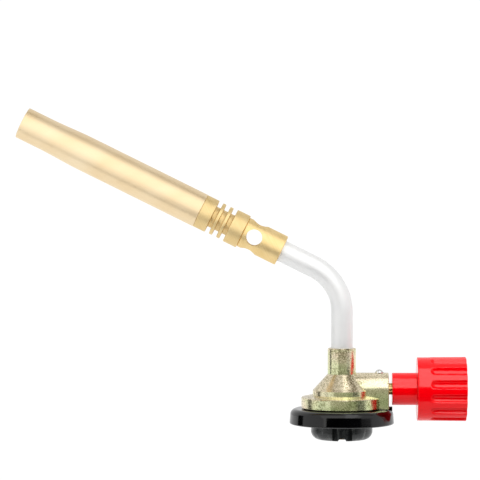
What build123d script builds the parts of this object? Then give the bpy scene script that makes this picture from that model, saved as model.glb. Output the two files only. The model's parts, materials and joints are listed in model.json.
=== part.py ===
"""Bent-neck gas torch head for a bayonet gas canister, as an assembly of separate pieces.

Lengths are millimetres. +Z is up and is the canister's axis. The side arm, the needle spindle and
the knob lie along +X. The burner leans up and away from the knob in the XZ plane. The origin is at
the mouth of the inlet socket, level with the foot of the bayonet lugs.
"""
import math
import os

from build123d import *

# Fits
FIT = 0.05  # radial gap between a turned piece and its bore
EDGE = 0.3  # small chamfer that breaks a turned edge

# Bayonet collar: a boss with three lugs and three gaps between them
LUG_RADIUS = 14.0
LUG_BOWL_HEIGHT = 4.6  # rounding of the lugs' lower outer edge
LUG_BOWL_WIDTH = 2.8
HUB_RADIUS = 11.2
HUB_BORE = 8.3
COLLAR_TOP = 7.0
LUG_GAP = 9.0
LUG_COUNT = 3
NOTCH_RADIUS = 2.0
NOTCH_DEPTH = 1.3
FRONT_ANGLE = -90.0

# Inlet socket: takes the canister's nozzle, its hexagon holds the collar up against the disc
NOZZLE_RADIUS = 2.1
NOZZLE_GUIDE_RADIUS = 4.0
NOZZLE_GUIDE_DEPTH = 1.0
SOCKET_HEX = 13.0
SOCKET_HEX_TOP = 4.0
STEM_RADIUS = 5.0
STEM_TOP = 11.6
SEAL_POCKET_BOTTOM = 4.2
SEAL_SECTION = 0.75
SEAL_POCKET_HEIGHT = 1.7
FILTER_RADIUS = 2.55
FILTER_THICKNESS = 2.0
FILTER_BOTTOM = 8.6
SOCKET_PASSAGE = 1.2

# Base disc
DISC_TOP_RADIUS = 23.4
DISC_BOTTOM_RADIUS = 23.95
DISC_TOP = 13.9
DISC_SHOULDER = 2.7
RIM_GROOVE_RADIUS = 20.5
RIM_GROOVE_WIDTH = 2.2
RIM_GROOVE_DEPTH = 1.0
NUB_LENGTH = 1.6
NUB_WIDTH = 2.4
NUB_TOP = 14.8
NUB_POSITION = 22.3
GASKET_THICKNESS = 0.3
GASKET_RADIUS = 17.3

# Base screws, M2.5
SCREW_CIRCLE = 15.6
SCREW_RADIUS = 1.25
SCREW_HEAD_RADIUS = 2.2
SCREW_HEAD_HEIGHT = 1.5
SCREW_SINK = 2.2
SCREW_TOP = 18.1
SLOT_WIDTH = 0.7
SLOT_DEPTH = 0.7

# Valve body: flange, step, cone and boss round the canister's axis
SPIGOT_RADIUS = 8.0
FLANGE_RADIUS = 18.5
FLANGE_TOP = 19.2
STEP_RADIUS = 13.3
STEP_BOTTOM = 20.2
STEP_TOP = 23.4
STEP_CHAMFER = 1.0
CONE_TOP = 29.8
BOSS_RADIUS = 6.5
BOSS_TOP = 41.6
BOSS_CHAMFER = 0.4

# Side arm and the needle valve inside it, along +X
ARM_RADIUS = 7.45
ARM_AXIS_HEIGHT = 22.9
ARM_END = 21.35
SEAT_START = -1.6
SEAT_RADIUS = 2.55
SEAT_LENGTH = 3.2
SEAT_ORIFICE = 0.6
SEAT_MOUTH = 1.6
CHAMBER_START = 2.5
CHAMBER_RADIUS = 2.9
GLAND_START = 12.0
GLAND_RADIUS = 5.0
PIN_POSITION = 17.1
PIN_RADIUS = 1.25
PIN_BOTTOM = 27.2
PIN_HEAD_RADIUS = 2.0
PIN_HEAD_BOTTOM = 29.9
PIN_HEAD_RIM = 30.5
PIN_HEAD_TOP = 31.9
PASSAGE_RADIUS = 0.9
INLET_PASSAGE_X = 4.0
OUTLET_PASSAGE_X = -2.6

# Spindle
SPINDLE_THREAD_RADIUS = 2.4
SPINDLE_LAND_RADIUS = 2.8
SPINDLE_STEM_RADIUS = 2.0
SPLINE_RADIUS = 2.65
SPLINE_START = 21.6
SPINDLE_END = 34.5
SPLINE_COUNT = 12
SPLINE_GROOVE_WIDTH = 0.5
SPLINE_GROOVE_DEPTH = 0.4
O_RING_POSITION = 8.15
O_RING_SECTION = 0.58
O_RING_GROOVE_RADIUS = 1.6
O_RING_GROOVE_WIDTH = 1.5
LAND_WIDTH = 0.8
LAND_END = 10.7

# Knob
SLEEVE_START = 22.9
SLEEVE_RADIUS = 7.4
HEAD_START = 34.3
HEAD_END = 56.7
HEAD_RADIUS = 14.5
FLUTE_START = 40.2
FLUTE_CREST_RADIUS = 14.65
FLUTE_COUNT = 14
FLUTE_RADIUS = 1.75
FLUTE_DEPTH = 1.3
KNOB_WEB_END = 36.6
KNOB_HOLLOW_RADIUS = 10.0
CAP_RADIUS = 10.5
CAP_START = 54.5
CAP_END = 56.3
CAP_RING_RADIUS = 7.5
KNOB_SCREW_RADIUS = 1.5
KNOB_SCREW_START = 27.5
KNOB_SCREW_HEAD_RADIUS = 2.8
KNOB_SCREW_HEAD = 2.0

# Gas tube
TUBE_RADIUS = 5.0
TUBE_WALL = 1.0
TUBE_BEND = 23.0
WASHER_BOTTOM = 31.4
WASHER_THICKNESS = 1.0
WASHER_BORE = 2.2

# Burner: distances run from the mixer's end, up along the burner's axis
BURNER_ANGLE = 26.3
MIXER_END_X = -27.6
MIXER_END_Z = 86.1
MIXER_RADIUS = 7.15
MIXER_LENGTH = 19.5
MIXER_SPIGOT_RADIUS = 6.0
MIXER_SPIGOT_LENGTH = 4.5
MIXER_CHAMBER = 4.6
TUBE_DEPTH = 6.5
AIR_HOLE_RADIUS = 3.75
AIR_HOLE_POSITION = 13.9
CONNECTOR_RING_RADIUS = 7.95
CONNECTOR_RING_END = 26.1
FIN_RADIUS = 7.7
FIN_WIDTH = 1.6
FIN_PITCH = 3.7
FIN_START = 28.1
FIN_COUNT = 2
FIN_CORE = 5.0
FRONT_RING_START = 35.4
FRONT_RING_RADIUS = 7.9
FLAME_TUBE_START = 41.3
THROAT_RADIUS = 3.4
SPIGOT_LENGTH = 5.2
FLAME_TUBE_RADIUS = 8.0
FLAME_TUBE_WALL = 0.75
BURNER_LENGTH = 132.1
TAPER_START = 100.1
TAPER_END = 120.7
MOUTH_RADIUS = 7.4
HOLDER_THICKNESS = 3.5
HOLDER_HOLES = 8
HOLDER_HOLE_RADIUS = 1.1
HOLDER_CIRCLE = 4.8
HOLDER_CENTRE_HOLE = 1.7

# Jet
JET_HOLDER_START = 1.5
JET_FLANGE = 1.7
JET_RADIUS = 1.75
JET_START = 4.5
JET_HEX = 5.0
JET_HEX_HEIGHT = 1.2
JET_NIPPLE_RADIUS = 1.2
JET_NIPPLE_HEIGHT = 0.6
JET_ORIFICE = 0.25
JET_BORE = 0.9
JET_FILTER_RADIUS = 2.6
JET_FILTER_THICKNESS = 1.0

# Derived places
gasket_top = DISC_TOP + GASKET_THICKNESS
stem_bore_top = STEM_TOP + 2 * EDGE
tube_start = WASHER_BOTTOM + WASHER_THICKNESS
jet_flange_end = TUBE_DEPTH + JET_FLANGE
connector_end = FLAME_TUBE_START + SPIGOT_LENGTH
burner_direction = Vector(-math.cos(math.radians(BURNER_ANGLE)), 0, math.sin(math.radians(BURNER_ANGLE)))
mixer_end = Vector(MIXER_END_X, 0, MIXER_END_Z)
burner_axis = Axis(mixer_end, burner_direction)
burner_section = Plane(origin=mixer_end, x_dir=burner_direction, z_dir=(0, -1, 0))
arm_axis = Axis((0, 0, ARM_AXIS_HEIGHT), (1, 0, 0))
arm_section = Plane(origin=(0, 0, ARM_AXIS_HEIGHT), x_dir=(1, 0, 0), z_dir=(0, -1, 0))
screw_angles = [FRONT_ANGLE + 360 / LUG_COUNT * index for index in range(LUG_COUNT)]


def closed_outline(plane, points):
    """A face on the plane, bounded by straight lines through the points."""
    with BuildSketch(plane) as outline:
        with BuildLine():
            Polyline(*points, close=True)
        make_face()
    return outline.sketch


def cross_plane(direction, origin):
    """The plane square to the direction, with its first axis along -Y."""
    return Plane(origin=origin, x_dir=(0, -1, 0), z_dir=direction)


def burner_plane(distance):
    """The plane square to the burner's axis at the given distance from the mixer's end."""
    return cross_plane(burner_direction, mixer_end + burner_direction * distance)


def arm_plane(position):
    """The plane square to the arm's axis at the given X."""
    return cross_plane((1, 0, 0), (position, 0, ARM_AXIS_HEIGHT))


def ring_outline(start, end, inner, outer):
    """A tube's section with its outer edges broken."""
    return [
        (start, inner),
        (start, outer - EDGE),
        (start + EDGE, outer),
        (end - EDGE, outer),
        (end, outer - EDGE),
        (end, inner),
    ]


def save(piece, name):
    """Label a finished piece and write it as its own STEP file."""
    piece.part.label = name
    export_step(piece.part, f"parts/{name}.step")


os.makedirs("parts", exist_ok=True)

# --- Bayonet collar ---------------------------------------------------------------------------
with BuildPart() as bayonet_collar:
    foot_radius = LUG_RADIUS - LUG_BOWL_WIDTH
    bowl_middle = (
        foot_radius + LUG_BOWL_WIDTH * math.sin(math.radians(45)),
        LUG_BOWL_HEIGHT - LUG_BOWL_HEIGHT * math.cos(math.radians(45)),
    )
    with BuildSketch(Plane.XZ):
        with BuildLine():
            Line((HUB_BORE, 0), (foot_radius, 0))
            ThreePointArc((foot_radius, 0), bowl_middle, (LUG_RADIUS, LUG_BOWL_HEIGHT))
            Polyline(
                (LUG_RADIUS, LUG_BOWL_HEIGHT),
                (LUG_RADIUS, COLLAR_TOP - 3 * EDGE),
                (LUG_RADIUS - 2 * EDGE, COLLAR_TOP),
                (STEM_RADIUS + FIT, COLLAR_TOP),
                (STEM_RADIUS + FIT, SOCKET_HEX_TOP),
                (HUB_BORE, SOCKET_HEX_TOP),
                (HUB_BORE, 0),
            )
        make_face()
    revolve(axis=Axis.Z)
    with BuildSketch(Plane.XY):
        with PolarLocations(LUG_RADIUS, LUG_COUNT, start_angle=FRONT_ANGLE):
            Rectangle(LUG_RADIUS, LUG_GAP)
        Circle(HUB_RADIUS, mode=Mode.SUBTRACT)
    extrude(amount=COLLAR_TOP, mode=Mode.SUBTRACT)
    for angle in screw_angles:
        outward = Vector(1, 0, 0).rotate(Axis.Z, angle)
        notch_centre = outward * HUB_BORE + Vector(0, 0, NOTCH_DEPTH - NOTCH_RADIUS)
        with BuildSketch(Plane(origin=notch_centre - outward, z_dir=outward)):
            Circle(NOTCH_RADIUS)
        extrude(amount=LUG_RADIUS - HUB_BORE, mode=Mode.SUBTRACT)
save(bayonet_collar, "bayonet_collar")

# --- Inlet socket, its seal and its filter ----------------------------------------------------
with BuildPart() as inlet_socket:
    with BuildSketch():
        Circle(NOZZLE_GUIDE_RADIUS)
    extrude(amount=NOZZLE_GUIDE_DEPTH)
    with BuildSketch(Plane.XY.offset(NOZZLE_GUIDE_DEPTH)):
        RegularPolygon(SOCKET_HEX / 2, 6, major_radius=False)
    extrude(amount=SOCKET_HEX_TOP - NOZZLE_GUIDE_DEPTH)
    with BuildSketch(Plane.XY.offset(SOCKET_HEX_TOP)):
        Circle(STEM_RADIUS)
    extrude(amount=STEM_TOP - SOCKET_HEX_TOP)
    seal_pocket_radius = NOZZLE_RADIUS + 2 * SEAL_SECTION + FIT
    seal_pocket_top = SEAL_POCKET_BOTTOM + SEAL_POCKET_HEIGHT
    passage_outline = [
        (0, 0),
        (NOZZLE_RADIUS, 0),
        (NOZZLE_RADIUS, SEAL_POCKET_BOTTOM),
        (seal_pocket_radius, SEAL_POCKET_BOTTOM),
        (seal_pocket_radius, seal_pocket_top),
        (SOCKET_PASSAGE, seal_pocket_top),
        (SOCKET_PASSAGE, FILTER_BOTTOM),
        (FILTER_RADIUS + FIT, FILTER_BOTTOM),
        (FILTER_RADIUS + FIT, STEM_TOP),
        (0, STEM_TOP),
    ]
    revolve(closed_outline(Plane.XZ, passage_outline), axis=Axis.Z, mode=Mode.SUBTRACT)
save(inlet_socket, "inlet_socket")

with BuildPart() as socket_seal:
    with BuildSketch(Plane.XZ):
        with Locations((NOZZLE_RADIUS + SEAL_SECTION, SEAL_POCKET_BOTTOM + SEAL_POCKET_HEIGHT / 2)):
            Circle(SEAL_SECTION)
    revolve(axis=Axis.Z)
save(socket_seal, "socket_seal")

with BuildPart() as inlet_filter:
    with BuildSketch(Plane.XY.offset(FILTER_BOTTOM)):
        Circle(FILTER_RADIUS)
    extrude(amount=FILTER_THICKNESS)
save(inlet_filter, "inlet_filter")

# --- Base disc, gasket and screws -------------------------------------------------------------
with BuildPart() as base_disc:
    with BuildSketch(Plane.XZ) as disc_section:
        with BuildLine():
            Polyline(
                (SPIGOT_RADIUS + FIT, COLLAR_TOP),
                (DISC_BOTTOM_RADIUS, COLLAR_TOP),
                (DISC_TOP_RADIUS, DISC_TOP),
                (SPIGOT_RADIUS + FIT, DISC_TOP),
                close=True,
            )
        make_face()
        outer_corners = disc_section.vertices().group_by(Axis.X)
        fillet(outer_corners[-2], DISC_SHOULDER)
        fillet(disc_section.vertices().sort_by(Axis.X)[-1], 2 * EDGE)
    revolve(axis=Axis.Z)
    with BuildSketch(Plane.XY.offset(COLLAR_TOP)):
        Circle(RIM_GROOVE_RADIUS + RIM_GROOVE_WIDTH / 2)
        Circle(RIM_GROOVE_RADIUS - RIM_GROOVE_WIDTH / 2, mode=Mode.SUBTRACT)
    extrude(amount=RIM_GROOVE_DEPTH, mode=Mode.SUBTRACT)
    with BuildSketch(Plane.XY.offset(DISC_TOP - DISC_SHOULDER)):
        with Locations((NUB_POSITION, 0)):
            RectangleRounded(NUB_LENGTH, NUB_WIDTH, EDGE)
    extrude(amount=NUB_TOP - DISC_TOP + DISC_SHOULDER)
    with BuildSketch(Plane.XY.offset(COLLAR_TOP)):
        with PolarLocations(SCREW_CIRCLE, LUG_COUNT, start_angle=FRONT_ANGLE):
            Circle(SCREW_HEAD_RADIUS + 3 * FIT)
    extrude(amount=SCREW_SINK, mode=Mode.SUBTRACT)
    with BuildSketch(Plane.XY.offset(COLLAR_TOP)):
        with PolarLocations(SCREW_CIRCLE, LUG_COUNT, start_angle=FRONT_ANGLE):
            Circle(SCREW_RADIUS + FIT)
    extrude(amount=DISC_TOP - COLLAR_TOP, mode=Mode.SUBTRACT)
save(base_disc, "base_disc")

with BuildPart() as base_gasket:
    with BuildSketch(Plane.XY.offset(DISC_TOP)):
        Circle(GASKET_RADIUS)
        Circle(SPIGOT_RADIUS + FIT, mode=Mode.SUBTRACT)
        with PolarLocations(SCREW_CIRCLE, LUG_COUNT, start_angle=FRONT_ANGLE):
            Circle(SCREW_RADIUS + FIT, mode=Mode.SUBTRACT)
    extrude(amount=GASKET_THICKNESS)
save(base_gasket, "base_gasket")

with BuildPart() as base_screws:
    head_top = COLLAR_TOP + SCREW_SINK
    with BuildSketch(Plane.XY.offset(head_top - SCREW_HEAD_HEIGHT)):
        with PolarLocations(SCREW_CIRCLE, LUG_COUNT, start_angle=FRONT_ANGLE):
            Circle(SCREW_HEAD_RADIUS)
    extrude(amount=SCREW_HEAD_HEIGHT)
    with BuildSketch(Plane.XY.offset(head_top)):
        with PolarLocations(SCREW_CIRCLE, LUG_COUNT, start_angle=FRONT_ANGLE):
            Circle(SCREW_RADIUS)
    extrude(amount=SCREW_TOP - head_top)
    with BuildSketch(Plane.XY.offset(head_top - SCREW_HEAD_HEIGHT)):
        with PolarLocations(SCREW_CIRCLE, LUG_COUNT, start_angle=FRONT_ANGLE):
            Rectangle(SLOT_WIDTH, 3 * SCREW_HEAD_RADIUS)
    extrude(amount=SLOT_DEPTH, mode=Mode.SUBTRACT)
save(base_screws, "base_screws")

# --- Valve body -------------------------------------------------------------------------------
with BuildPart() as valve_body:
    body_outline = [
        (0, COLLAR_TOP),
        (SPIGOT_RADIUS, COLLAR_TOP),
        (SPIGOT_RADIUS, gasket_top),
        (FLANGE_RADIUS - EDGE, gasket_top),
        (FLANGE_RADIUS, gasket_top + EDGE),
        (FLANGE_RADIUS, FLANGE_TOP - EDGE),
        (FLANGE_RADIUS - EDGE, FLANGE_TOP),
        (STEP_RADIUS, STEP_BOTTOM),
        (STEP_RADIUS, STEP_TOP - STEP_CHAMFER),
        (STEP_RADIUS - STEP_CHAMFER, STEP_TOP),
        (BOSS_RADIUS, CONE_TOP),
        (BOSS_RADIUS, BOSS_TOP - BOSS_CHAMFER),
        (BOSS_RADIUS - BOSS_CHAMFER, BOSS_TOP),
        (0, BOSS_TOP),
    ]
    revolve(closed_outline(Plane.XZ, body_outline), axis=Axis.Z)
    with BuildSketch(Plane.YZ):
        arm_drop = ARM_AXIS_HEIGHT - gasket_top
        with Locations((0, ARM_AXIS_HEIGHT)):
            Circle(ARM_RADIUS)
        with Locations((0, ARM_AXIS_HEIGHT - arm_drop / 2)):
            Rectangle(2 * ARM_RADIUS, arm_drop)
    extrude(amount=ARM_END)
    fillet(valve_body.faces().sort_by(Axis.X)[-1].edges(), EDGE)

    # stem bore, nozzle side
    with BuildSketch(Plane.XY.offset(COLLAR_TOP)):
        Circle(STEM_RADIUS + FIT)
    extrude(amount=stem_bore_top - COLLAR_TOP, mode=Mode.SUBTRACT)
    # needle valve chamber, seat pocket and gland thread
    bore_outline = [
        (SEAT_START - 2 * PASSAGE_RADIUS, 0),
        (SEAT_START - 2 * PASSAGE_RADIUS, PASSAGE_RADIUS),
        (SEAT_START, PASSAGE_RADIUS),
        (SEAT_START, SEAT_RADIUS + FIT),
        (CHAMBER_START, SEAT_RADIUS + FIT),
        (CHAMBER_START, CHAMBER_RADIUS),
        (GLAND_START, CHAMBER_RADIUS),
        (GLAND_START, GLAND_RADIUS + FIT),
        (ARM_END, GLAND_RADIUS + FIT),
        (ARM_END, 0),
    ]
    revolve(closed_outline(arm_section, bore_outline), axis=arm_axis, mode=Mode.SUBTRACT)
    # gas passages up to the chamber and from the seat up to the gas tube
    with BuildSketch(Plane.XY.offset(stem_bore_top)):
        with Locations((INLET_PASSAGE_X, 0)):
            Circle(PASSAGE_RADIUS)
    extrude(amount=ARM_AXIS_HEIGHT - stem_bore_top, mode=Mode.SUBTRACT)
    with BuildSketch(Plane.XY.offset(ARM_AXIS_HEIGHT)):
        with Locations((OUTLET_PASSAGE_X, 0)):
            Circle(PASSAGE_RADIUS)
    extrude(amount=WASHER_BOTTOM - ARM_AXIS_HEIGHT, mode=Mode.SUBTRACT)
    with BuildSketch(Plane.XY.offset(WASHER_BOTTOM)):
        Circle(TUBE_RADIUS + FIT)
    extrude(amount=BOSS_TOP - WASHER_BOTTOM, mode=Mode.SUBTRACT)
    # hole and spot face of the retaining pin
    with BuildSketch(Plane.XY.offset(ARM_AXIS_HEIGHT)):
        with Locations((PIN_POSITION, 0)):
            Circle(PIN_RADIUS + FIT)
    extrude(amount=ARM_RADIUS, mode=Mode.SUBTRACT)
    with BuildSketch(Plane.XY.offset(PIN_HEAD_BOTTOM)):
        with Locations((PIN_POSITION, 0)):
            Circle(PIN_HEAD_RADIUS + FIT)
    extrude(amount=ARM_RADIUS, mode=Mode.SUBTRACT)
    # threaded holes of the base screws
    with BuildSketch(Plane.XY.offset(gasket_top)):
        with PolarLocations(SCREW_CIRCLE, LUG_COUNT, start_angle=FRONT_ANGLE):
            Circle(SCREW_RADIUS + FIT)
    extrude(amount=SCREW_TOP + EDGE - gasket_top, mode=Mode.SUBTRACT)
save(valve_body, "valve_body")

# --- Needle valve -----------------------------------------------------------------------------
with BuildPart() as valve_seat:
    seat_end = SEAT_START + SEAT_LENGTH
    seat_outline = [
        (SEAT_START, SEAT_ORIFICE),
        (SEAT_START, SEAT_RADIUS),
        (seat_end, SEAT_RADIUS),
        (seat_end, SEAT_MOUTH),
        (0, SEAT_ORIFICE),
    ]
    revolve(closed_outline(arm_section, seat_outline), axis=arm_axis)
save(valve_seat, "valve_seat")

with BuildPart() as valve_spindle:
    groove_start = O_RING_POSITION - O_RING_GROOVE_WIDTH / 2
    groove_end = O_RING_POSITION + O_RING_GROOVE_WIDTH / 2
    spindle_outline = [
        (2 * FIT, 0),
        (2 * FIT, SEAT_ORIFICE - FIT),
        (seat_end + 2 * FIT, SEAT_MOUTH - FIT),
        (CHAMBER_START, SEAT_MOUTH - FIT),
        (CHAMBER_START, SPINDLE_STEM_RADIUS),
        (groove_start - LAND_WIDTH, SPINDLE_STEM_RADIUS),
        (groove_start - LAND_WIDTH, SPINDLE_LAND_RADIUS),
        (groove_start, SPINDLE_LAND_RADIUS),
        (groove_start, O_RING_GROOVE_RADIUS),
        (groove_end, O_RING_GROOVE_RADIUS),
        (groove_end, SPINDLE_LAND_RADIUS),
        (LAND_END, SPINDLE_LAND_RADIUS),
        (LAND_END, SPINDLE_THREAD_RADIUS),
        (SPLINE_START, SPINDLE_THREAD_RADIUS),
        (SPLINE_START, SPLINE_RADIUS),
        (SPINDLE_END, SPLINE_RADIUS),
        (SPINDLE_END, 0),
    ]
    revolve(closed_outline(arm_section, spindle_outline), axis=arm_axis)
    with BuildSketch(arm_plane(SPLINE_START)):
        with PolarLocations(SPLINE_RADIUS, SPLINE_COUNT):
            Rectangle(2 * SPLINE_GROOVE_DEPTH, SPLINE_GROOVE_WIDTH)
    extrude(amount=SPINDLE_END - SPLINE_START, mode=Mode.SUBTRACT)
    with BuildSketch(arm_plane(KNOB_SCREW_START - EDGE)):
        Circle(KNOB_SCREW_RADIUS + FIT)
    extrude(amount=SPINDLE_END - KNOB_SCREW_START + EDGE, mode=Mode.SUBTRACT)
save(valve_spindle, "valve_spindle")

with BuildPart() as spindle_o_ring:
    with BuildSketch(arm_section):
        with Locations((O_RING_POSITION, O_RING_GROOVE_RADIUS + FIT + O_RING_SECTION)):
            Circle(O_RING_SECTION)
    revolve(axis=arm_axis)
save(spindle_o_ring, "spindle_o_ring")

with BuildPart() as gland_bush:
    pin_groove_half = PIN_RADIUS + 3 * FIT
    pin_groove_radius = PIN_BOTTOM - ARM_AXIS_HEIGHT - FIT
    bush_end = ARM_END - EDGE
    bush_outline = [
        (GLAND_START, SPINDLE_THREAD_RADIUS + FIT),
        (GLAND_START, GLAND_RADIUS),
        (PIN_POSITION - pin_groove_half, GLAND_RADIUS),
        (PIN_POSITION - pin_groove_half, pin_groove_radius),
        (PIN_POSITION + pin_groove_half, pin_groove_radius),
        (PIN_POSITION + pin_groove_half, GLAND_RADIUS),
        (bush_end, GLAND_RADIUS),
        (bush_end, SPINDLE_THREAD_RADIUS + FIT),
    ]
    revolve(closed_outline(arm_section, bush_outline), axis=arm_axis)
    with BuildSketch(arm_plane(bush_end - SLOT_DEPTH)):
        Rectangle(3 * GLAND_RADIUS, 2 * SLOT_WIDTH)
        Circle(SPINDLE_LAND_RADIUS, mode=Mode.SUBTRACT)
    extrude(amount=2 * SLOT_DEPTH, mode=Mode.SUBTRACT)
save(gland_bush, "gland_bush")

with BuildPart() as retaining_pin:
    dome_height = PIN_HEAD_TOP - PIN_HEAD_RIM
    dome_radius = (PIN_HEAD_RADIUS**2 + dome_height**2) / (2 * dome_height)
    dome_angle = math.asin(PIN_HEAD_RADIUS / dome_radius) / 2
    dome_middle = (
        dome_radius * math.sin(dome_angle),
        PIN_HEAD_TOP - dome_radius * (1 - math.cos(dome_angle)),
    )
    with BuildSketch(Plane.XZ):
        with BuildLine():
            Polyline(
                (0, PIN_HEAD_TOP),
                (0, PIN_BOTTOM),
                (PIN_RADIUS, PIN_BOTTOM),
                (PIN_RADIUS, PIN_HEAD_BOTTOM),
                (PIN_HEAD_RADIUS, PIN_HEAD_BOTTOM),
                (PIN_HEAD_RADIUS, PIN_HEAD_RIM),
            )
            ThreePointArc((PIN_HEAD_RADIUS, PIN_HEAD_RIM), dome_middle, (0, PIN_HEAD_TOP))
        make_face()
    revolve(axis=Axis.Z)
retaining_pin.part = retaining_pin.part.moved(Location((PIN_POSITION, 0, 0)))
save(retaining_pin, "retaining_pin")

# --- Knob -------------------------------------------------------------------------------------
with BuildPart() as control_knob:
    knob_outline = [
        (SLEEVE_START, SPLINE_RADIUS + FIT),
        (SLEEVE_START, SLEEVE_RADIUS - EDGE),
        (SLEEVE_START + EDGE, SLEEVE_RADIUS),
        (HEAD_START, SLEEVE_RADIUS),
        (HEAD_START, HEAD_RADIUS - EDGE),
        (HEAD_START + EDGE, HEAD_RADIUS),
        (FLUTE_START, HEAD_RADIUS),
        (FLUTE_START + 2 * FLUTE_RADIUS, FLUTE_CREST_RADIUS),
        (HEAD_END - 2 * EDGE, FLUTE_CREST_RADIUS - EDGE),
        (HEAD_END, FLUTE_CREST_RADIUS - 3 * EDGE),
        (HEAD_END, CAP_RADIUS),
        (CAP_START, CAP_RADIUS),
        (CAP_START, KNOB_HOLLOW_RADIUS),
        (KNOB_WEB_END, KNOB_HOLLOW_RADIUS),
        (KNOB_WEB_END, KNOB_SCREW_RADIUS + FIT),
        (SPINDLE_END + FIT, KNOB_SCREW_RADIUS + FIT),
        (SPINDLE_END + FIT, SPLINE_RADIUS + FIT),
    ]
    revolve(closed_outline(arm_section, knob_outline), axis=arm_axis)
    flute_axis_radius = FLUTE_CREST_RADIUS - FLUTE_DEPTH + FLUTE_RADIUS
    with BuildSketch(arm_plane(FLUTE_START + FLUTE_RADIUS)):
        with PolarLocations(flute_axis_radius, FLUTE_COUNT, start_angle=180 / FLUTE_COUNT):
            Circle(FLUTE_RADIUS)
    extrude(amount=HEAD_END - FLUTE_START, mode=Mode.SUBTRACT)
    with Locations(arm_plane(FLUTE_START + FLUTE_RADIUS)):
        with PolarLocations(flute_axis_radius, FLUTE_COUNT, start_angle=180 / FLUTE_COUNT):
            Sphere(FLUTE_RADIUS, mode=Mode.SUBTRACT)
save(control_knob, "control_knob")

with BuildPart() as knob_screw:
    with BuildSketch(arm_plane(KNOB_SCREW_START)):
        Circle(KNOB_SCREW_RADIUS)
    extrude(amount=KNOB_WEB_END - KNOB_SCREW_START)
    with BuildSketch(arm_plane(KNOB_WEB_END)):
        Circle(KNOB_SCREW_HEAD_RADIUS)
    extrude(amount=KNOB_SCREW_HEAD)
    with BuildSketch(arm_plane(KNOB_WEB_END + KNOB_SCREW_HEAD)):
        Rectangle(SLOT_WIDTH, 3 * KNOB_SCREW_HEAD_RADIUS)
    extrude(amount=-SLOT_DEPTH, mode=Mode.SUBTRACT)
save(knob_screw, "knob_screw")

with BuildPart() as knob_cap:
    cap_outline = [
        (CAP_START, 0),
        (CAP_START, CAP_RADIUS - FIT),
        (CAP_END - EDGE, CAP_RADIUS - FIT),
        (CAP_END, CAP_RADIUS - FIT - EDGE),
        (CAP_END, CAP_RING_RADIUS),
        (CAP_END - EDGE, CAP_RING_RADIUS - EDGE),
        (CAP_END - EDGE, 0),
    ]
    revolve(closed_outline(arm_section, cap_outline), axis=arm_axis)
save(knob_cap, "knob_cap")

# --- Gas tube ---------------------------------------------------------------------------------
with BuildPart() as tube_washer:
    with BuildSketch(Plane.XY.offset(WASHER_BOTTOM)):
        Circle(TUBE_RADIUS - FIT)
        Circle(WASHER_BORE, mode=Mode.SUBTRACT)
    extrude(amount=WASHER_THICKNESS)
save(tube_washer, "tube_washer")

with BuildPart() as gas_tube:
    bend_corner = mixer_end - burner_direction * (mixer_end.X / burner_direction.X)
    tube_end = mixer_end + burner_direction * TUBE_DEPTH
    with BuildLine() as tube_path:
        FilletPolyline((0, 0, tube_start), bend_corner, tube_end, radius=TUBE_BEND)
    with BuildSketch(Plane.XY.offset(tube_start)):
        Circle(TUBE_RADIUS)
        Circle(TUBE_RADIUS - TUBE_WALL, mode=Mode.SUBTRACT)
    sweep(path=tube_path.line)
save(gas_tube, "gas_tube")

# --- Jet, in the upper end of the gas tube ----------------------------------------------------
with BuildPart() as jet_holder:
    holder_outline = [
        (JET_HOLDER_START, JET_FILTER_RADIUS + FIT),
        (JET_HOLDER_START, TUBE_RADIUS - TUBE_WALL - FIT),
        (TUBE_DEPTH, TUBE_RADIUS - TUBE_WALL - FIT),
        (TUBE_DEPTH, TUBE_RADIUS),
        (jet_flange_end, TUBE_RADIUS),
        (jet_flange_end, JET_RADIUS + FIT),
        (JET_START, JET_RADIUS + FIT),
        (JET_START, JET_BORE),
        (JET_HOLDER_START + JET_FILTER_THICKNESS, JET_BORE),
        (JET_HOLDER_START + JET_FILTER_THICKNESS, JET_FILTER_RADIUS + FIT),
    ]
    revolve(closed_outline(burner_section, holder_outline), axis=burner_axis)
save(jet_holder, "jet_holder")

with BuildPart() as jet_filter:
    with BuildSketch(burner_plane(JET_HOLDER_START)):
        Circle(JET_FILTER_RADIUS)
    extrude(amount=JET_FILTER_THICKNESS)
save(jet_filter, "jet_filter")

with BuildPart() as gas_jet:
    with BuildSketch(burner_plane(JET_START)):
        Circle(JET_RADIUS)
    extrude(amount=jet_flange_end - JET_START)
    with BuildSketch(burner_plane(jet_flange_end)):
        RegularPolygon(JET_HEX / 2, 6, major_radius=False)
    extrude(amount=JET_HEX_HEIGHT)
    with BuildSketch(burner_plane(jet_flange_end + JET_HEX_HEIGHT)):
        Circle(JET_NIPPLE_RADIUS)
    extrude(amount=JET_NIPPLE_HEIGHT)
    with BuildSketch(burner_plane(JET_START)):
        Circle(JET_BORE)
    extrude(amount=jet_flange_end - JET_START, mode=Mode.SUBTRACT)
    with BuildSketch(burner_plane(JET_START)):
        Circle(JET_ORIFICE)
    extrude(amount=BURNER_LENGTH, mode=Mode.SUBTRACT)
save(gas_jet, "gas_jet")

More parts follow.
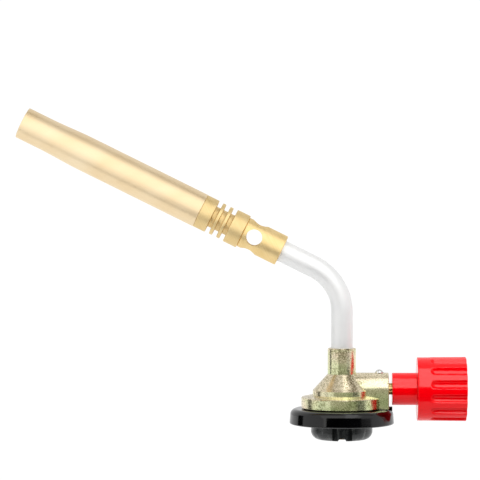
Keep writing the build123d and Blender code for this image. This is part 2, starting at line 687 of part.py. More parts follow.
# --- Air mixer --------------------------------------------------------------------------------
with BuildPart() as mixer_sleeve:
    mixer_spigot_end = MIXER_LENGTH + MIXER_SPIGOT_LENGTH
    mixer_outline = [
        *ring_outline(0, MIXER_LENGTH, TUBE_RADIUS + FIT, MIXER_RADIUS)[:-1],
        (MIXER_LENGTH, MIXER_SPIGOT_RADIUS),
        (mixer_spigot_end, MIXER_SPIGOT_RADIUS),
        (mixer_spigot_end, MIXER_CHAMBER),
        (jet_flange_end, MIXER_CHAMBER),
        (jet_flange_end, TUBE_RADIUS + FIT),
    ]
    revolve(closed_outline(burner_section, mixer_outline), axis=burner_axis)
    hole_centre = mixer_end + burner_direction * AIR_HOLE_POSITION
    across = Vector(0, 1, 0).cross(burner_direction)
    for hole_direction in (Vector(0, 1, 0), across):
        with BuildSketch(Plane(origin=hole_centre, z_dir=hole_direction)):
            Circle(AIR_HOLE_RADIUS)
        extrude(amount=2 * MIXER_RADIUS, both=True, mode=Mode.SUBTRACT)
save(mixer_sleeve, "mixer_sleeve")

# --- Finned connector -------------------------------------------------------------------------
with BuildPart() as finned_connector:
    connector_bore = MIXER_SPIGOT_RADIUS + FIT
    outer_outline = [
        *ring_outline(MIXER_LENGTH, CONNECTOR_RING_END, connector_bore, CONNECTOR_RING_RADIUS)[:-1],
        (CONNECTOR_RING_END, FIN_CORE),
    ]
    for fin in range(FIN_COUNT):
        fin_start = FIN_START + fin * FIN_PITCH
        outer_outline += ring_outline(fin_start, fin_start + FIN_WIDTH, FIN_CORE, FIN_RADIUS)
    outer_outline += ring_outline(FRONT_RING_START, FLAME_TUBE_START, FIN_CORE, FRONT_RING_RADIUS)[:-1]
    spigot_radius = FLAME_TUBE_RADIUS - FLAME_TUBE_WALL - FIT
    inner_outline = [
        (FLAME_TUBE_START, spigot_radius),
        (connector_end, spigot_radius),
        (connector_end, spigot_radius - FLAME_TUBE_WALL),
        (FRONT_RING_START, THROAT_RADIUS),
        (mixer_spigot_end + FIT, THROAT_RADIUS),
        (mixer_spigot_end + FIT, connector_bore),
    ]
    revolve(closed_outline(burner_section, outer_outline + inner_outline), axis=burner_axis)
save(finned_connector, "finned_connector")

# --- Flame tube and flame holder --------------------------------------------------------------
with BuildPart() as flame_tube:
    with BuildSketch(burner_section):
        with BuildLine():
            outer_taper = Spline(
                (TAPER_START, FLAME_TUBE_RADIUS), (TAPER_END, MOUTH_RADIUS), tangents=[(1, 0), (1, 0)]
            )
            Polyline(
                outer_taper @ 1,
                (BURNER_LENGTH, MOUTH_RADIUS),
                (BURNER_LENGTH, MOUTH_RADIUS - FLAME_TUBE_WALL),
                (TAPER_END, MOUTH_RADIUS - FLAME_TUBE_WALL),
            )
            Spline(
                (TAPER_END, MOUTH_RADIUS - FLAME_TUBE_WALL),
                (TAPER_START, FLAME_TUBE_RADIUS - FLAME_TUBE_WALL),
                tangents=[(-1, 0), (-1, 0)],
            )
            Polyline(
                (TAPER_START, FLAME_TUBE_RADIUS - FLAME_TUBE_WALL),
                (FLAME_TUBE_START, FLAME_TUBE_RADIUS - FLAME_TUBE_WALL),
                (FLAME_TUBE_START, FLAME_TUBE_RADIUS),
                outer_taper @ 0,
            )
        make_face()
    revolve(axis=burner_axis)
save(flame_tube, "flame_tube")

with BuildPart() as flame_holder:
    with BuildSketch(burner_plane(connector_end)):
        Circle(spigot_radius)
        Circle(HOLDER_CENTRE_HOLE, mode=Mode.SUBTRACT)
        with PolarLocations(HOLDER_CIRCLE, HOLDER_HOLES):
            Circle(HOLDER_HOLE_RADIUS, mode=Mode.SUBTRACT)
    extrude(amount=HOLDER_THICKNESS)
save(flame_holder, "flame_holder")
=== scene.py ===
"""Looks of the bent-neck gas torch head: materials, finer meshes, light and camera."""
import json
import math

import bpy
import bmesh
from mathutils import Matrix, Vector


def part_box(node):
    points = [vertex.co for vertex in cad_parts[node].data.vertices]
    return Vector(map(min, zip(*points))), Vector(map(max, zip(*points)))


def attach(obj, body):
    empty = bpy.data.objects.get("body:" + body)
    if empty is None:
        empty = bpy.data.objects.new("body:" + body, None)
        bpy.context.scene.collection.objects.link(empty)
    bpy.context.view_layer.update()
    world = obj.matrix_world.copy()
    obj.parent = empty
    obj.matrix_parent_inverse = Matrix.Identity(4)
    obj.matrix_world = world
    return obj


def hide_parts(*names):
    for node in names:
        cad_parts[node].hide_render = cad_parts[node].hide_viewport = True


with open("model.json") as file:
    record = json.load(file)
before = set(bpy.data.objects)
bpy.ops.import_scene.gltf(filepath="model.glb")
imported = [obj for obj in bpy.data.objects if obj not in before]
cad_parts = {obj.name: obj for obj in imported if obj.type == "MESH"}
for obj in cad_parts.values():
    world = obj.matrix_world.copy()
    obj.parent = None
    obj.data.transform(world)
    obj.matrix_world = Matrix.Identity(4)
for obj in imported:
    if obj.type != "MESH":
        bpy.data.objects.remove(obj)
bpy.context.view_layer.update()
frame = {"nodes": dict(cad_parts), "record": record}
nodes = frame["nodes"]
MM = 0.001

# The burner's axis, from the record's mount at its mouth
mounts = {mount["name"]: mount for mount in frame["record"]["mounts"]}
mouth = Vector(mounts["flame_tube_mouth"]["pos_m"])
burner_direction = Vector(mounts["flame_tube_mouth"]["axis"]).normalized()
burner_angle = math.atan2(burner_direction.z, -burner_direction.x)


# --- Materials --------------------------------------------------------------------------------
class Surface:
    """One procedural material. Methods add texture nodes and return their output sockets."""

    def __init__(self, name, colour, metallic, roughness, **constants):
        self.material = bpy.data.materials.new(name)
        self.material.use_nodes = True
        self.tree = self.material.node_tree
        self.shader = self.tree.nodes["Principled BSDF"]
        self.shader.inputs["Base Color"].default_value = (*colour, 1)
        self.shader.inputs["Metallic"].default_value = metallic
        self.shader.inputs["Roughness"].default_value = roughness
        for socket, value in constants.items():
            self.shader.inputs[socket.replace("_", " ")].default_value = value
        self.place = self.node("ShaderNodeTexCoord").outputs["Object"]

    def node(self, kind, **settings):
        node = self.tree.nodes.new(kind)
        for key, value in settings.items():
            setattr(node, key, value)
        return node

    def link(self, source, target):
        self.tree.links.new(source, target)

    def stretched(self, scale, turn=0.0):
        """Object coordinates turned about Y by an angle, then scaled along the turned axes."""
        turned = self.node("ShaderNodeMapping", vector_type="POINT")
        self.link(self.place, turned.inputs["Vector"])
        turned.inputs["Rotation"].default_value = (0, turn, 0)
        scaled = self.node("ShaderNodeMapping", vector_type="POINT")
        self.link(turned.outputs["Vector"], scaled.inputs["Vector"])
        scaled.inputs["Scale"].default_value = scale
        return scaled.outputs["Vector"]

    def noise(self, vector, scale=1.0, detail=3.0, roughness=0.5):
        texture = self.node("ShaderNodeTexNoise")
        self.link(vector, texture.inputs["Vector"])
        texture.inputs["Scale"].default_value = scale
        texture.inputs["Detail"].default_value = detail
        texture.inputs["Roughness"].default_value = roughness
        return texture.outputs["Fac"]

    def ramp(self, value, *stops):
        """Colours or greys by value: each stop is (position, (r, g, b))."""
        ramp = self.node("ShaderNodeValToRGB")
        elements = ramp.color_ramp.elements
        while len(elements) < len(stops):
            elements.new(0.5)
        for element, (position, colour) in zip(elements, stops):
            element.position = position
            element.color = (*colour, 1)
        self.link(value, ramp.inputs["Fac"])
        return ramp.outputs["Color"]

    def spread(self, value, low, high, start=0.3, end=0.7):
        """The value, from start to end, as a number from low to high."""
        spread = self.node("ShaderNodeMapRange")
        self.link(value, spread.inputs["Value"])
        for socket, number in (("From Min", start), ("From Max", end), ("To Min", low), ("To Max", high)):
            spread.inputs[socket].default_value = number
        return spread.outputs["Result"]

    def mix(self, amount, first, second, blend="MIX"):
        mixer = self.node("ShaderNodeMix", data_type="RGBA", blend_type=blend)
        if isinstance(amount, float):
            mixer.inputs["Factor"].default_value = amount
        else:
            self.link(amount, mixer.inputs["Factor"])
        for socket, source in ((mixer.inputs[6], first), (mixer.inputs[7], second)):
            if isinstance(source, tuple):
                socket.default_value = (*source, 1)
            else:
                self.link(source, socket)
        return mixer.outputs[2]

    def calculate(self, operation, first, second):
        maths = self.node("ShaderNodeMath", operation=operation)
        for socket, source in zip(maths.inputs, (first, second)):
            if isinstance(source, (int, float)):
                socket.default_value = source
            else:
                self.link(source, socket)
        return maths.outputs[0]

    def colour(self, source):
        self.link(source, self.shader.inputs["Base Color"])

    def roughness(self, source):
        self.link(source, self.shader.inputs["Roughness"])

    def bump(self, *layers):
        """Layers of (height, distance in metres, strength), the coarsest first."""
        normal = None
        for height, distance, strength in layers:
            bump = self.node("ShaderNodeBump")
            bump.inputs["Distance"].default_value = distance
            bump.inputs["Strength"].default_value = strength
            self.link(height, bump.inputs["Height"])
            if normal:
                self.link(normal, bump.inputs["Normal"])
            normal = bump.outputs["Normal"]
        self.link(normal, self.shader.inputs["Normal"])


def turned_brass(name, base, light, roughness, ring_scale, turn):
    """Brass off a lathe: fine rings round the axis, soft blotches of tarnish."""
    surface = Surface(name, base, 1.0, roughness, Anisotropic=0.25)
    rings = surface.noise(surface.stretched((ring_scale, 25, 25), turn), 1.0, 4.0, 0.6)
    blotches = surface.noise(surface.place, 160, 3.0)
    tone = surface.calculate("ADD", surface.calculate("MULTIPLY", rings, 0.6),
                             surface.calculate("MULTIPLY", blotches, 0.4))
    surface.colour(surface.ramp(tone, (0.36, base), (0.64, light)))
    surface.roughness(surface.spread(rings, roughness - 0.05, roughness + 0.05))
    surface.bump((rings, 0.000002, 0.3))
    return surface.material


def drawn_brass(name, base, light):
    """Satin brass tube: faint lines along it and a hint of tarnish."""
    surface = Surface(name, base, 1.0, 0.3)
    lines = surface.noise(surface.stretched((14, 1500, 1500), burner_angle), 1.0, 3.0)
    haze = surface.noise(surface.stretched((22, 70, 70), burner_angle), 1.0, 3.0)
    surface.colour(surface.ramp(haze, (0.3, base), (0.7, light)))
    surface.roughness(surface.calculate("ADD", surface.spread(lines, 0.0, 0.05),
                                        surface.spread(haze, 0.33, 0.38)))
    surface.bump((lines, 0.000002, 0.2))
    return surface.material


def drawn_aluminium():
    """Satin tube with drawing lines and small scuffs left by the bending tool."""
    surface = Surface("tube_aluminium", (0.96, 0.965, 0.97), 0.52, 0.42)
    lines = surface.noise(surface.stretched((900, 900, 18)), 1.0, 3.0)
    haze = surface.noise(surface.place, 70, 3.0)
    scuffs = surface.noise(surface.stretched((420, 420, 150), 0.5), 1.0, 5.0, 0.75)
    marks = surface.ramp(scuffs, (0.66, (0.93, 0.935, 0.935)), (0.74, (0.66, 0.68, 0.72)))
    tone = surface.ramp(haze, (0.3, (0.93, 0.935, 0.94)), (0.7, (0.98, 0.98, 0.975)))
    surface.colour(surface.mix(0.6, tone, marks, "MULTIPLY"))
    surface.roughness(surface.calculate("ADD", surface.spread(lines, 0.0, 0.08),
                                        surface.spread(haze, 0.42, 0.52)))
    surface.bump((scuffs, 0.00006, 0.15), (lines, 0.00002, 0.3))
    return surface.material


def passivated_zinc():
    """Yellow passivated die casting: straw film, a painted lighter pinkish sheen on faces that point up,
    fine dark grain.
    """
    surface = Surface("body_zinc", (0.62, 0.58, 0.36), 1.0, 0.3)
    facing = surface.node("ShaderNodeSeparateXYZ")
    surface.link(surface.node("ShaderNodeTexCoord").outputs["Normal"], facing.inputs[0])
    # Painted reflection: faces that point up get a lighter, pinker straw, standing in for the light above
    # mirrored in the film
    painted_top_sheen = surface.spread(facing.outputs["Z"], 0.0, 1.0, 0.35, 0.65)
    bloom = surface.noise(surface.stretched((50, 50, 90)), 1.0, 2.0, 0.5)
    grain = surface.noise(surface.place, 2300, 3.0, 0.7)
    pits = surface.noise(surface.place, 1300, 4.0, 0.75)
    patches = surface.noise(surface.place, 120, 3.0, 0.6)
    film = surface.ramp(
        bloom,
        (0.3, (0.6, 0.72, 0.36)),
        (0.45, (0.86, 0.9, 0.55)),
        (0.57, (0.93, 0.88, 0.6)),
        (0.7, (0.95, 0.76, 0.6)),
    )
    # The straw film with the painted top sheen mixed in
    film_and_top_sheen = surface.mix(painted_top_sheen, film, (0.93, 0.82, 0.6))
    mottle = surface.ramp(pits, (0.43, (0.27, 0.26, 0.15)), (0.55, (1.0, 1.0, 1.0)))
    amount = surface.spread(patches, 0.25, 0.95, 0.4, 0.62)
    surface.colour(surface.mix(amount, film_and_top_sheen, surface.mix(1.0, film_and_top_sheen, mottle, "MULTIPLY")))
    surface.roughness(surface.calculate("ADD", surface.spread(grain, 0.0, 0.12),
                                        surface.spread(pits, 0.15, 0.22)))
    surface.bump((pits, 0.00002, 0.45), (grain, 0.00001, 0.4))
    return surface.material


def glossy_plastic(name, dark, light, roughness, **constants):
    """Moulded gloss plastic: slight waviness, faint scratches and a soft change of tone."""
    surface = Surface(name, light, 0.0, roughness, **constants)
    flow = surface.noise(surface.place, 60, 2.0)
    peel = surface.noise(surface.place, 700, 2.0)
    scratches = surface.noise(surface.stretched((90, 1100, 2200), 0.7), 1.0, 4.0, 0.7)
    surface.colour(surface.ramp(flow, (0.3, dark), (0.7, light)))
    surface.roughness(surface.calculate("ADD", surface.spread(scratches, 0.0, 0.1, 0.55, 0.75),
                                        surface.spread(flow, roughness - 0.03, roughness + 0.04)))
    surface.bump((flow, 0.0002, 0.1), (peel, 0.00001, 0.25))
    return surface.material


def moulded_nylon():
    """Dark grey nylon, spark-eroded and rubbed shiny in places by the canister."""
    surface = Surface("collar_nylon", (0.03, 0.034, 0.034), 0.0, 0.3)
    texture = surface.noise(surface.place, 1700, 4.0, 0.6)
    rubbed = surface.noise(surface.stretched((380, 380, 90)), 1.0, 4.0, 0.65)
    wear = surface.spread(rubbed, 0.0, 1.0, 0.5, 0.66)
    surface.colour(surface.mix(wear, (0.02, 0.023, 0.023), (0.16, 0.17, 0.165)))
    surface.roughness(surface.calculate("ADD", surface.spread(texture, 0.0, 0.12),
                                        surface.spread(rubbed, 0.3, 0.16)))
    surface.bump((rubbed, 0.0001, 0.25), (texture, 0.00003, 0.4))
    return surface.material


def bright_steel(name, tone, roughness, line_scale):
    """Plated or polished steel with fine scratches."""
    surface = Surface(name, tone, 1.0, roughness)
    scratches = surface.noise(surface.stretched(line_scale), 1.0, 4.0, 0.7)
    darker = tuple(0.75 * channel for channel in tone)
    surface.colour(surface.ramp(scratches, (0.3, darker), (0.6, tone)))
    surface.roughness(surface.spread(scratches, roughness, roughness + 0.12))
    surface.bump((scratches, 0.00002, 0.3))
    return surface.material


def soft_material(name, dark, light, roughness, grain_scale, depth):
    """Soft, fibrous or sintered pieces, seen only in gaps: a plain grain."""
    surface = Surface(name, light, 0.0, roughness)
    grain = surface.noise(surface.place, grain_scale, 4.0, 0.65)
    surface.colour(surface.ramp(grain, (0.35, dark), (0.65, light)))
    surface.roughness(surface.spread(grain, roughness - 0.08, roughness + 0.08))
    surface.bump((grain, depth, 0.4))
    return surface.material


materials = {
    "flame_tube_brass": drawn_brass("flame_tube_brass", base=(0.88, 0.68, 0.41), light=(0.95, 0.79, 0.54)),
    "connector_brass": turned_brass(
        "connector_brass", base=(0.78, 0.58, 0.27), light=(0.9, 0.71, 0.38),
        roughness=0.5, ring_scale=2600, turn=burner_angle),
    "mixer_brass": turned_brass(
        "mixer_brass", base=(0.85, 0.63, 0.28), light=(0.95, 0.74, 0.39),
        roughness=0.48, ring_scale=2200, turn=burner_angle),
    "socket_brass": turned_brass(
        "socket_brass", base=(0.72, 0.52, 0.2), light=(0.86, 0.66, 0.3),
        roughness=0.3, ring_scale=3000, turn=0.0),
    "spindle_brass": turned_brass(
        "spindle_brass", base=(0.74, 0.53, 0.2), light=(0.88, 0.68, 0.32),
        roughness=0.26, ring_scale=2600, turn=0.0),
    "tube_aluminium": drawn_aluminium(),
    "body_zinc": passivated_zinc(),
    "disc_plastic": glossy_plastic(
        "disc_plastic", dark=(0.0008, 0.0008, 0.0008), light=(0.002, 0.002, 0.0025),
        roughness=0.09, IOR=1.5),
    "knob_plastic": glossy_plastic(
        "knob_plastic", dark=(0.92, 0.0, 0.003), light=(1.0, 0.0, 0.005), roughness=0.12, IOR=1.36),
    "collar_nylon": moulded_nylon(),
    "pin_steel": bright_steel(
        "pin_steel", tone=(0.86, 0.86, 0.85), roughness=0.12, line_scale=(400, 400, 400)),
    "screw_steel": bright_steel(
        "screw_steel", tone=(0.62, 0.63, 0.66), roughness=0.28, line_scale=(700, 200, 200)),
    "seal_rubber": soft_material(
        "seal_rubber", dark=(0.012, 0.012, 0.012), light=(0.03, 0.03, 0.03),
        roughness=0.6, grain_scale=900, depth=0.00003),
    "gasket_fibre": soft_material(
        "gasket_fibre", dark=(0.03, 0.02, 0.015), light=(0.09, 0.06, 0.04),
        roughness=0.85, grain_scale=700, depth=0.00008),
    "seat_plastic": soft_material(
        "seat_plastic", dark=(0.7, 0.69, 0.64), light=(0.85, 0.84, 0.8),
        roughness=0.4, grain_scale=500, depth=0.00002),
    "sintered_bronze": soft_material(
        "sintered_bronze", dark=(0.2, 0.12, 0.05), light=(0.5, 0.34, 0.16),
        roughness=0.6, grain_scale=1600, depth=0.0002),
}
slot_of = {part["node"]: part["material_slot"] for part in frame["record"]["subparts"]}
for name, node in nodes.items():
    node.data.materials.clear()
    node.data.materials.append(materials[slot_of[name]])

# --- Turned and moulded pieces ----------------------------------------------------------------
bodies = frame["record"]["behaviour"]["bodies"]
body_of = {node: body for body, members in bodies.items() for node in members}
CORNER_SHARE = 0.45
NORMAL_WEIGHT = 80
LATHE_STEPS = 160
TUBE_STEPS = 96


def rounded(outline, radius, steps=4):
    """The closed outline with each corner eased over at most the given length."""
    eased = []
    for index, corner in enumerate(outline):
        corner = Vector(corner)
        before = Vector(outline[index - 1]) - corner
        after = Vector(outline[(index + 1) % len(outline)]) - corner
        start = corner + before.normalized() * min(radius, CORNER_SHARE * before.length)
        end = corner + after.normalized() * min(radius, CORNER_SHARE * after.length)
        for step in range(steps + 1):
            t = step / steps
            eased.append((1 - t) ** 2 * start + 2 * t * (1 - t) * corner + t * t * end)
    return eased


def finished(node, mesh):
    """The mesh as a smooth piece that stands for a CAD node, in its material and on its body."""
    data = bpy.data.meshes.new(node + "_fine")
    mesh.to_mesh(data)
    mesh.free()
    data.shade_smooth()
    data.materials.append(materials[slot_of[node]])
    piece = bpy.data.objects.new(node + "_fine", data)
    bpy.context.scene.collection.objects.link(piece)
    normals = piece.modifiers.new("normals", "WEIGHTED_NORMAL")
    normals.weight = NORMAL_WEIGHT
    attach(piece, body_of[node])
    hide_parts(node)
    return piece


def turned(node, origin, direction, outline, steps=LATHE_STEPS, shape=None):
    """A closed outline of (distance, radius) in mm, spun round an axis, in place of a CAD node."""
    side = Vector((0, -1, 0))
    across = direction.cross(side)
    mesh = bmesh.new()
    loops = []
    for distance, radius in outline:
        loop = []
        for step in range(steps):
            angle = 2 * math.pi * step / steps
            reach = shape(distance, radius, angle) if shape else radius
            out = side * math.cos(angle) + across * math.sin(angle)
            loop.append(mesh.verts.new(origin + direction * distance * MM + out * reach * MM))
        loops.append(loop)
    for first, second in zip(loops, loops[1:] + loops[:1]):
        for step in range(steps):
            following = (step + 1) % steps
            mesh.faces.new((first[step], second[step], second[following], first[following]))
    bmesh.ops.recalc_face_normals(mesh, faces=mesh.faces)
    return finished(node, mesh)


def subdivided(start, end, count):
    """Points from start up to end, without the end."""
    return [Vector(start).lerp(Vector(end), index / count) for index in range(count)]


# Control knob: fluted head on a plain sleeve. Radii, then distances from the sleeve's end, in mm
KNOB_SLEEVE = 7.4
KNOB_HEAD = 14.5
KNOB_SHOULDER = 14.52
KNOB_CREST = 14.65
KNOB_BORE = 2.7
CAP_RECESS = 10.5
KNOB_HOLLOW = 10.0
KNOB_STEP = 11.4
KNOB_LENGTH = 33.8
CAP_DEPTH = 2.2
KNOB_WEB = 2.3
FLUTES_START = 17.3
FLUTE_COUNT = 14
FLUTE_RADIUS = 1.9
FLUTE_AXIS = 14.9
FLUTE_BLEND = 0.13
STEPS_PER_FLUTE = 24
KNOB_EASING = 0.45
HEAD_ROWS = 26
HEAD_SLACK = 0.2
FLUTE_LEAD = 1.0
LONG_STRETCH = 3.0
knob_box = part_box("control_knob")
knob_start = Vector((knob_box[0][0], 0, (knob_box[0][2] + knob_box[1][2]) / 2))


def fluted(distance, radius, angle):
    """The head's radius where a round-ended groove runs along it, its edges blended."""
    if radius < KNOB_STEP or distance < FLUTES_START:
        return radius
    pitch = 2 * math.pi / FLUTE_COUNT
    offset = (angle % pitch) - pitch / 2
    beyond_end = max(0.0, FLUTES_START + FLUTE_RADIUS - distance)
    groove = math.sqrt(max(0.0, FLUTE_RADIUS**2 - beyond_end**2))
    sideways = FLUTE_AXIS * math.sin(offset)
    if abs(sideways) >= groove:
        return radius
    depth = FLUTE_AXIS * math.cos(offset) - math.sqrt(groove**2 - sideways**2)
    near, far = min(depth, radius), max(depth, radius)
    return near - FLUTE_BLEND * math.log(1 + math.exp((near - far) / FLUTE_BLEND))


eased_knob = rounded([
    (0, KNOB_BORE), (0, KNOB_SLEEVE), (KNOB_STEP, KNOB_SLEEVE), (KNOB_STEP, KNOB_HEAD),
    (FLUTES_START, KNOB_SHOULDER), (KNOB_LENGTH, KNOB_CREST), (KNOB_LENGTH, CAP_RECESS),
    (KNOB_LENGTH - CAP_DEPTH, CAP_RECESS), (KNOB_LENGTH - CAP_DEPTH, KNOB_HOLLOW),
    (KNOB_STEP + KNOB_WEB, KNOB_HOLLOW), (KNOB_STEP + KNOB_WEB, KNOB_BORE),
], KNOB_EASING)
knob_outline = []
for first, second in zip(eased_knob, eased_knob[1:] + eased_knob[:1]):
    outside = min(first.y, second.y) > KNOB_HEAD - HEAD_SLACK
    along_flutes = second.x > FLUTES_START - FLUTE_LEAD and (second - first).length > LONG_STRETCH
    knob_outline += subdivided(first, second, HEAD_ROWS if outside and along_flutes else 1)
knob = turned(
    "control_knob", knob_start, Vector((1, 0, 0)), knob_outline, FLUTE_COUNT * STEPS_PER_FLUTE, fluted)

# Burner tube, connector and its fins. Distances run up the burner's axis from the mixer's foot, in mm
BURNER_LENGTH = 132.1
BURNER_END = 41.3
TUBE_OUTSIDE = 8.0
MOUTH_OUTSIDE = 7.4
TUBE_WALL = 0.75
TAPER = (100.1, 120.7)
TAPER_STEPS = 12
TUBE_EASING = 0.2
burner_start = mouth - burner_direction * BURNER_LENGTH * MM

# The tube necks down to its mouth in an S-curve
taper = []
for step in range(TAPER_STEPS + 1):
    share = step / TAPER_STEPS
    radius = TUBE_OUTSIDE + (MOUTH_OUTSIDE - TUBE_OUTSIDE) * share * share * (3 - 2 * share)
    taper.append((TAPER[0] + (TAPER[1] - TAPER[0]) * share, radius))
tube_side = rounded([(BURNER_END, TUBE_OUTSIDE - TUBE_WALL), (BURNER_END, TUBE_OUTSIDE), *taper,
                     (BURNER_LENGTH, MOUTH_OUTSIDE), (BURNER_LENGTH, MOUTH_OUTSIDE - TUBE_WALL),
                     *[(distance, radius - TUBE_WALL) for distance, radius in reversed(taper)]],
                    TUBE_EASING)
turned("flame_tube", burner_start, burner_direction, tube_side)

REAR_START, REAR_END, REAR_RADIUS = 19.5, 26.1, 7.95
CONNECTOR_FINS = ((28.1, 29.7), (31.8, 33.4))
FIN_RADIUS = 7.7
FIN_CORE = 5.0
FRONT_START, FRONT_END, FRONT_RADIUS = 35.4, 41.3, 7.9
SPIGOT_END, SPIGOT_OUTSIDE, SPIGOT_INSIDE = 46.5, 7.2, 6.45
SOCKET_END, SOCKET_RADIUS, THROAT_RADIUS = 24.05, 6.05, 3.4
CONNECTOR_EASING = 0.35
connector_outline = [(REAR_START, SOCKET_RADIUS), (REAR_START, REAR_RADIUS),
                     (REAR_END, REAR_RADIUS), (REAR_END, FIN_CORE)]
for fin_start, fin_end in CONNECTOR_FINS:
    connector_outline += [(fin_start, FIN_CORE), (fin_start, FIN_RADIUS),
                          (fin_end, FIN_RADIUS), (fin_end, FIN_CORE)]
connector_outline += [
    (FRONT_START, FIN_CORE), (FRONT_START, FRONT_RADIUS), (FRONT_END, FRONT_RADIUS),
    (FRONT_END, SPIGOT_OUTSIDE), (SPIGOT_END, SPIGOT_OUTSIDE), (SPIGOT_END, SPIGOT_INSIDE),
    (FRONT_START, THROAT_RADIUS), (SOCKET_END, THROAT_RADIUS), (SOCKET_END, SOCKET_RADIUS),
]
turned("finned_connector", burner_start, burner_direction, rounded(connector_outline, CONNECTOR_EASING))

# Gas tube: upright in the boss, one bend, then along the burner's axis into the mixer
SUPPLY_RADIUS = 5.0
SUPPLY_WALL = 1.0
BEND_RADIUS = 23.0
BEND_FLATTENING = 0.03
MIXER_DEPTH = 6.5
BEND_STEPS = 40
tube_foot = Vector((0, 0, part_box("gas_tube")[0][2]))
tube_tip = burner_start + burner_direction * MIXER_DEPTH * MM
bend_corner = burner_start - burner_direction * (burner_start.x / burner_direction.x)
half_turn = (math.pi / 2 - burner_angle) / 2
bend_reach = BEND_RADIUS * math.tan(half_turn) * MM
bend_centre = bend_corner + Vector((-BEND_RADIUS * MM, 0, -bend_reach))
tube_path = [(tube_foot, 0.0)]
for step in range(BEND_STEPS + 1):
    turn = 2 * half_turn * step / BEND_STEPS
    tube_path.append((bend_centre + Vector((math.cos(turn), 0, math.sin(turn))) * BEND_RADIUS * MM, turn))
tube_path.append((tube_tip, 2 * half_turn))


def swept_tube(node, path, outside, inside, steps=TUBE_STEPS):
    """A tube along a path in the XZ plane, a little flattened in its bend."""
    mesh = bmesh.new()
    loops = []
    for reach, places in ((outside, path), (inside, path[::-1])):
        for centre, turn in places:
            flat = 1 - BEND_FLATTENING * math.sin(math.pi * turn / (2 * half_turn))
            outward = Vector((math.cos(turn), 0, math.sin(turn)))
            loops.append([
                mesh.verts.new(centre + reach * MM * (
                    outward * math.cos(2 * math.pi * step / steps) * flat
                    + Vector((0, math.sin(2 * math.pi * step / steps), 0))))
                for step in range(steps)
            ])
    for first, second in zip(loops, loops[1:] + loops[:1]):
        for step in range(steps):
            following = (step + 1) % steps
            mesh.faces.new((first[step], second[step], second[following], first[following]))
    bmesh.ops.recalc_face_normals(mesh, faces=mesh.faces)
    return finished(node, mesh)


swept_tube("gas_tube", tube_path, SUPPLY_RADIUS, SUPPLY_RADIUS - SUPPLY_WALL)

# --- Floor, light and camera ------------------------------------------------------------------
scene = bpy.context.scene
scene.view_settings.view_transform = "Standard"


def card(name, width, height, place, target, colour, strength, clear=False):
    """A flat studio card facing the target, unseen by the camera. A clear one only adds light."""
    mesh = bpy.data.meshes.new(name)
    corners = [(x * width / 2, y * height / 2, 0) for x, y in ((-1, -1), (1, -1), (1, 1), (-1, 1))]
    mesh.from_pydata(corners, [], [(0, 1, 2, 3)])
    material = bpy.data.materials.new(name)
    material.use_nodes = True
    tree = material.node_tree
    tree.nodes.clear()
    emission = tree.nodes.new("ShaderNodeEmission")
    emission.inputs["Color"].default_value = (*colour, 1)
    emission.inputs["Strength"].default_value = strength
    output = tree.nodes.new("ShaderNodeOutputMaterial")
    glow = emission.outputs[0]
    if clear:
        both = tree.nodes.new("ShaderNodeAddShader")
        tree.links.new(glow, both.inputs[0])
        tree.links.new(tree.nodes.new("ShaderNodeBsdfTransparent").outputs[0], both.inputs[1])
        glow = both.outputs[0]
    tree.links.new(glow, output.inputs["Surface"])
    mesh.materials.append(material)
    piece = bpy.data.objects.new(name, mesh)
    scene.collection.objects.link(piece)
    piece.location = place
    piece.rotation_euler = (Vector(target) - Vector(place)).to_track_quat("Z", "Y").to_euler()
    piece.visible_camera = False
    return piece


def lit(light, *pieces):
    """Keeps a card's light for the given pieces."""
    receivers = bpy.data.collections.new(light.name + "_receivers")
    for piece in pieces:
        receivers.objects.link(piece)
    light.light_linking.receiver_collection = receivers


# Pale floor that glows a little, so that shadows stay faint. Its underside is clear
FLOOR_HALF = 6.0
FLOOR_HEIGHT = -0.15
FLOOR_GLOW = 0.78
floor_mesh = bpy.data.meshes.new("floor")
floor_mesh.from_pydata(
    [(x * FLOOR_HALF, y * FLOOR_HALF, FLOOR_HEIGHT) for x, y in ((-1, -1), (1, -1), (1, 1), (-1, 1))],
    [], [(0, 1, 2, 3)])
floor = bpy.data.objects.new("floor", floor_mesh)
scene.collection.objects.link(floor)
paper = Surface("floor_paper", (0.25, 0.25, 0.25), 0.0, 0.9)
paper.shader.inputs["Emission Color"].default_value = (1, 1, 1, 1)
paper.shader.inputs["Emission Strength"].default_value = FLOOR_GLOW
fibres = paper.noise(paper.place, 40, 2.0)
paper.colour(paper.ramp(fibres, (0.3, (0.24, 0.24, 0.24)), (0.7, (0.26, 0.26, 0.26))))
clear = paper.node("ShaderNodeBsdfTransparent")
underside = paper.node("ShaderNodeMixShader")
paper.link(paper.node("ShaderNodeNewGeometry").outputs["Backfacing"], underside.inputs[0])
paper.link(paper.shader.outputs[0], underside.inputs[1])
paper.link(clear.outputs[0], underside.inputs[2])
paper.link(underside.outputs[0], paper.tree.nodes["Material Output"].inputs["Surface"])
floor_mesh.materials.append(paper.material)

# White surroundings, a little brighter where the camera sees them
SURROUND_STRENGTH = 0.85
BACKDROP_STRENGTH = 1.05
world = bpy.data.worlds.new("studio")
scene.world = world
world.use_nodes = True
world_tree = world.node_tree
surround = world_tree.nodes["Background"]
surround.inputs["Color"].default_value = (1, 1, 1, 1)
surround.inputs["Strength"].default_value = SURROUND_STRENGTH
backdrop = world_tree.nodes.new("ShaderNodeBackground")
backdrop.inputs["Color"].default_value = (1, 1, 1, 1)
backdrop.inputs["Strength"].default_value = BACKDROP_STRENGTH
seen = world_tree.nodes.new("ShaderNodeLightPath")
choice = world_tree.nodes.new("ShaderNodeMixShader")
world_tree.links.new(seen.outputs["Is Camera Ray"], choice.inputs[0])
world_tree.links.new(surround.outputs[0], choice.inputs[1])
world_tree.links.new(backdrop.outputs[0], choice.inputs[2])
world_tree.links.new(choice.outputs[0], world_tree.nodes["World Output"].inputs["Surface"])

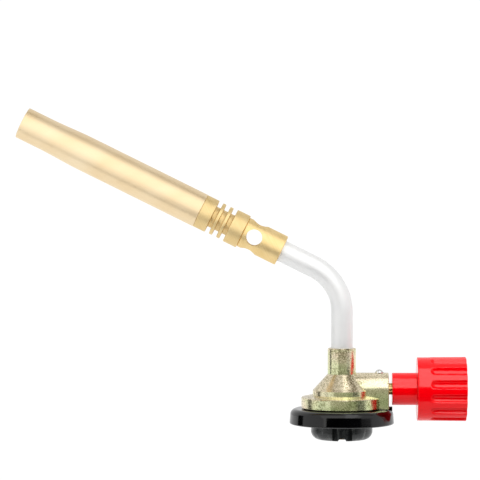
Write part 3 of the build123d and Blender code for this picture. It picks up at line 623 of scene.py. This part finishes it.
# Main light, in front and above
card("softbox", 1.3, 1.0, (-0.05, -0.62, 0.42), (-0.05, 0, 0.1), (1, 0.99, 0.97), 1.35)

# Strip in front of and above the knob, with more light for the knob alone
STRIP_SIZE = (0.09, 0.3)
STRIP_TARGET = (0.068, 0, 0.023)
card("body_light", *STRIP_SIZE, (0.068, -0.142, 0.165), STRIP_TARGET, (1, 1, 1), 2.0)
knob_light = card(
    "knob_light", *STRIP_SIZE, (0.068, -0.141, 0.164), STRIP_TARGET, (1, 1, 1), 2.4, clear=True)
lit(knob_light, knob)

# Dark gaps overhead, which make the stripe along the brass. The opening between them lights the arm
GAP_COLOUR = (0.2, 0.17, 0.13)
card("ceiling_gap_left", 0.72, 0.2, (-0.345, 0.03, 0.62), (-0.345, 0.03, 0.11), GAP_COLOUR, 1.0)
card("ceiling_gap_right", 0.6, 0.2, (0.42, 0.03, 0.62), (0.42, 0.03, 0.11), GAP_COLOUR, 1.0)

# Dark edges in front and at one side, which metal and gloss reflect. The casting sees a grey one
DARK = (0.02, 0.02, 0.02)
front_flag = card(
    "front_flag", 0.22, 0.1, (0.015, -0.147, 0.0025), (0.015, 0.0, 0.0025), (0.34, 0.34, 0.28), 1.0)
lit(front_flag, nodes["valve_body"])
card("base_flag", 0.9, 0.042, (0.03, -0.15, -0.034), (0.03, 0.0, -0.034), DARK, 1.0)
card("knob_flag", 0.3, 0.12, (0.17, -0.149, -0.04), (0.17, 0.0, -0.04), DARK, 1.0)
card("side_gap", 0.16, 0.3, (-0.5, 0.12, 0.0), (0, 0, 0.0), DARK, 1.0)

SENSOR_WIDTH = 36
FOCAL_LENGTH = 187.5
NEAREST = 0.01
CAMERA_PLACE = (-0.019, -1.1425, 0.1255)
CAMERA_TARGET = Vector((-0.0466, 0.0, 0.091))
camera_data = bpy.data.cameras.new("camera")
camera_data.sensor_width = SENSOR_WIDTH
camera_data.lens = FOCAL_LENGTH
camera_data.clip_start = NEAREST
camera = bpy.data.objects.new("camera", camera_data)
scene.collection.objects.link(camera)
camera.location = CAMERA_PLACE
camera.rotation_euler = (CAMERA_TARGET - camera.location).to_track_quat("-Z", "Y").to_euler()
scene.camera = camera
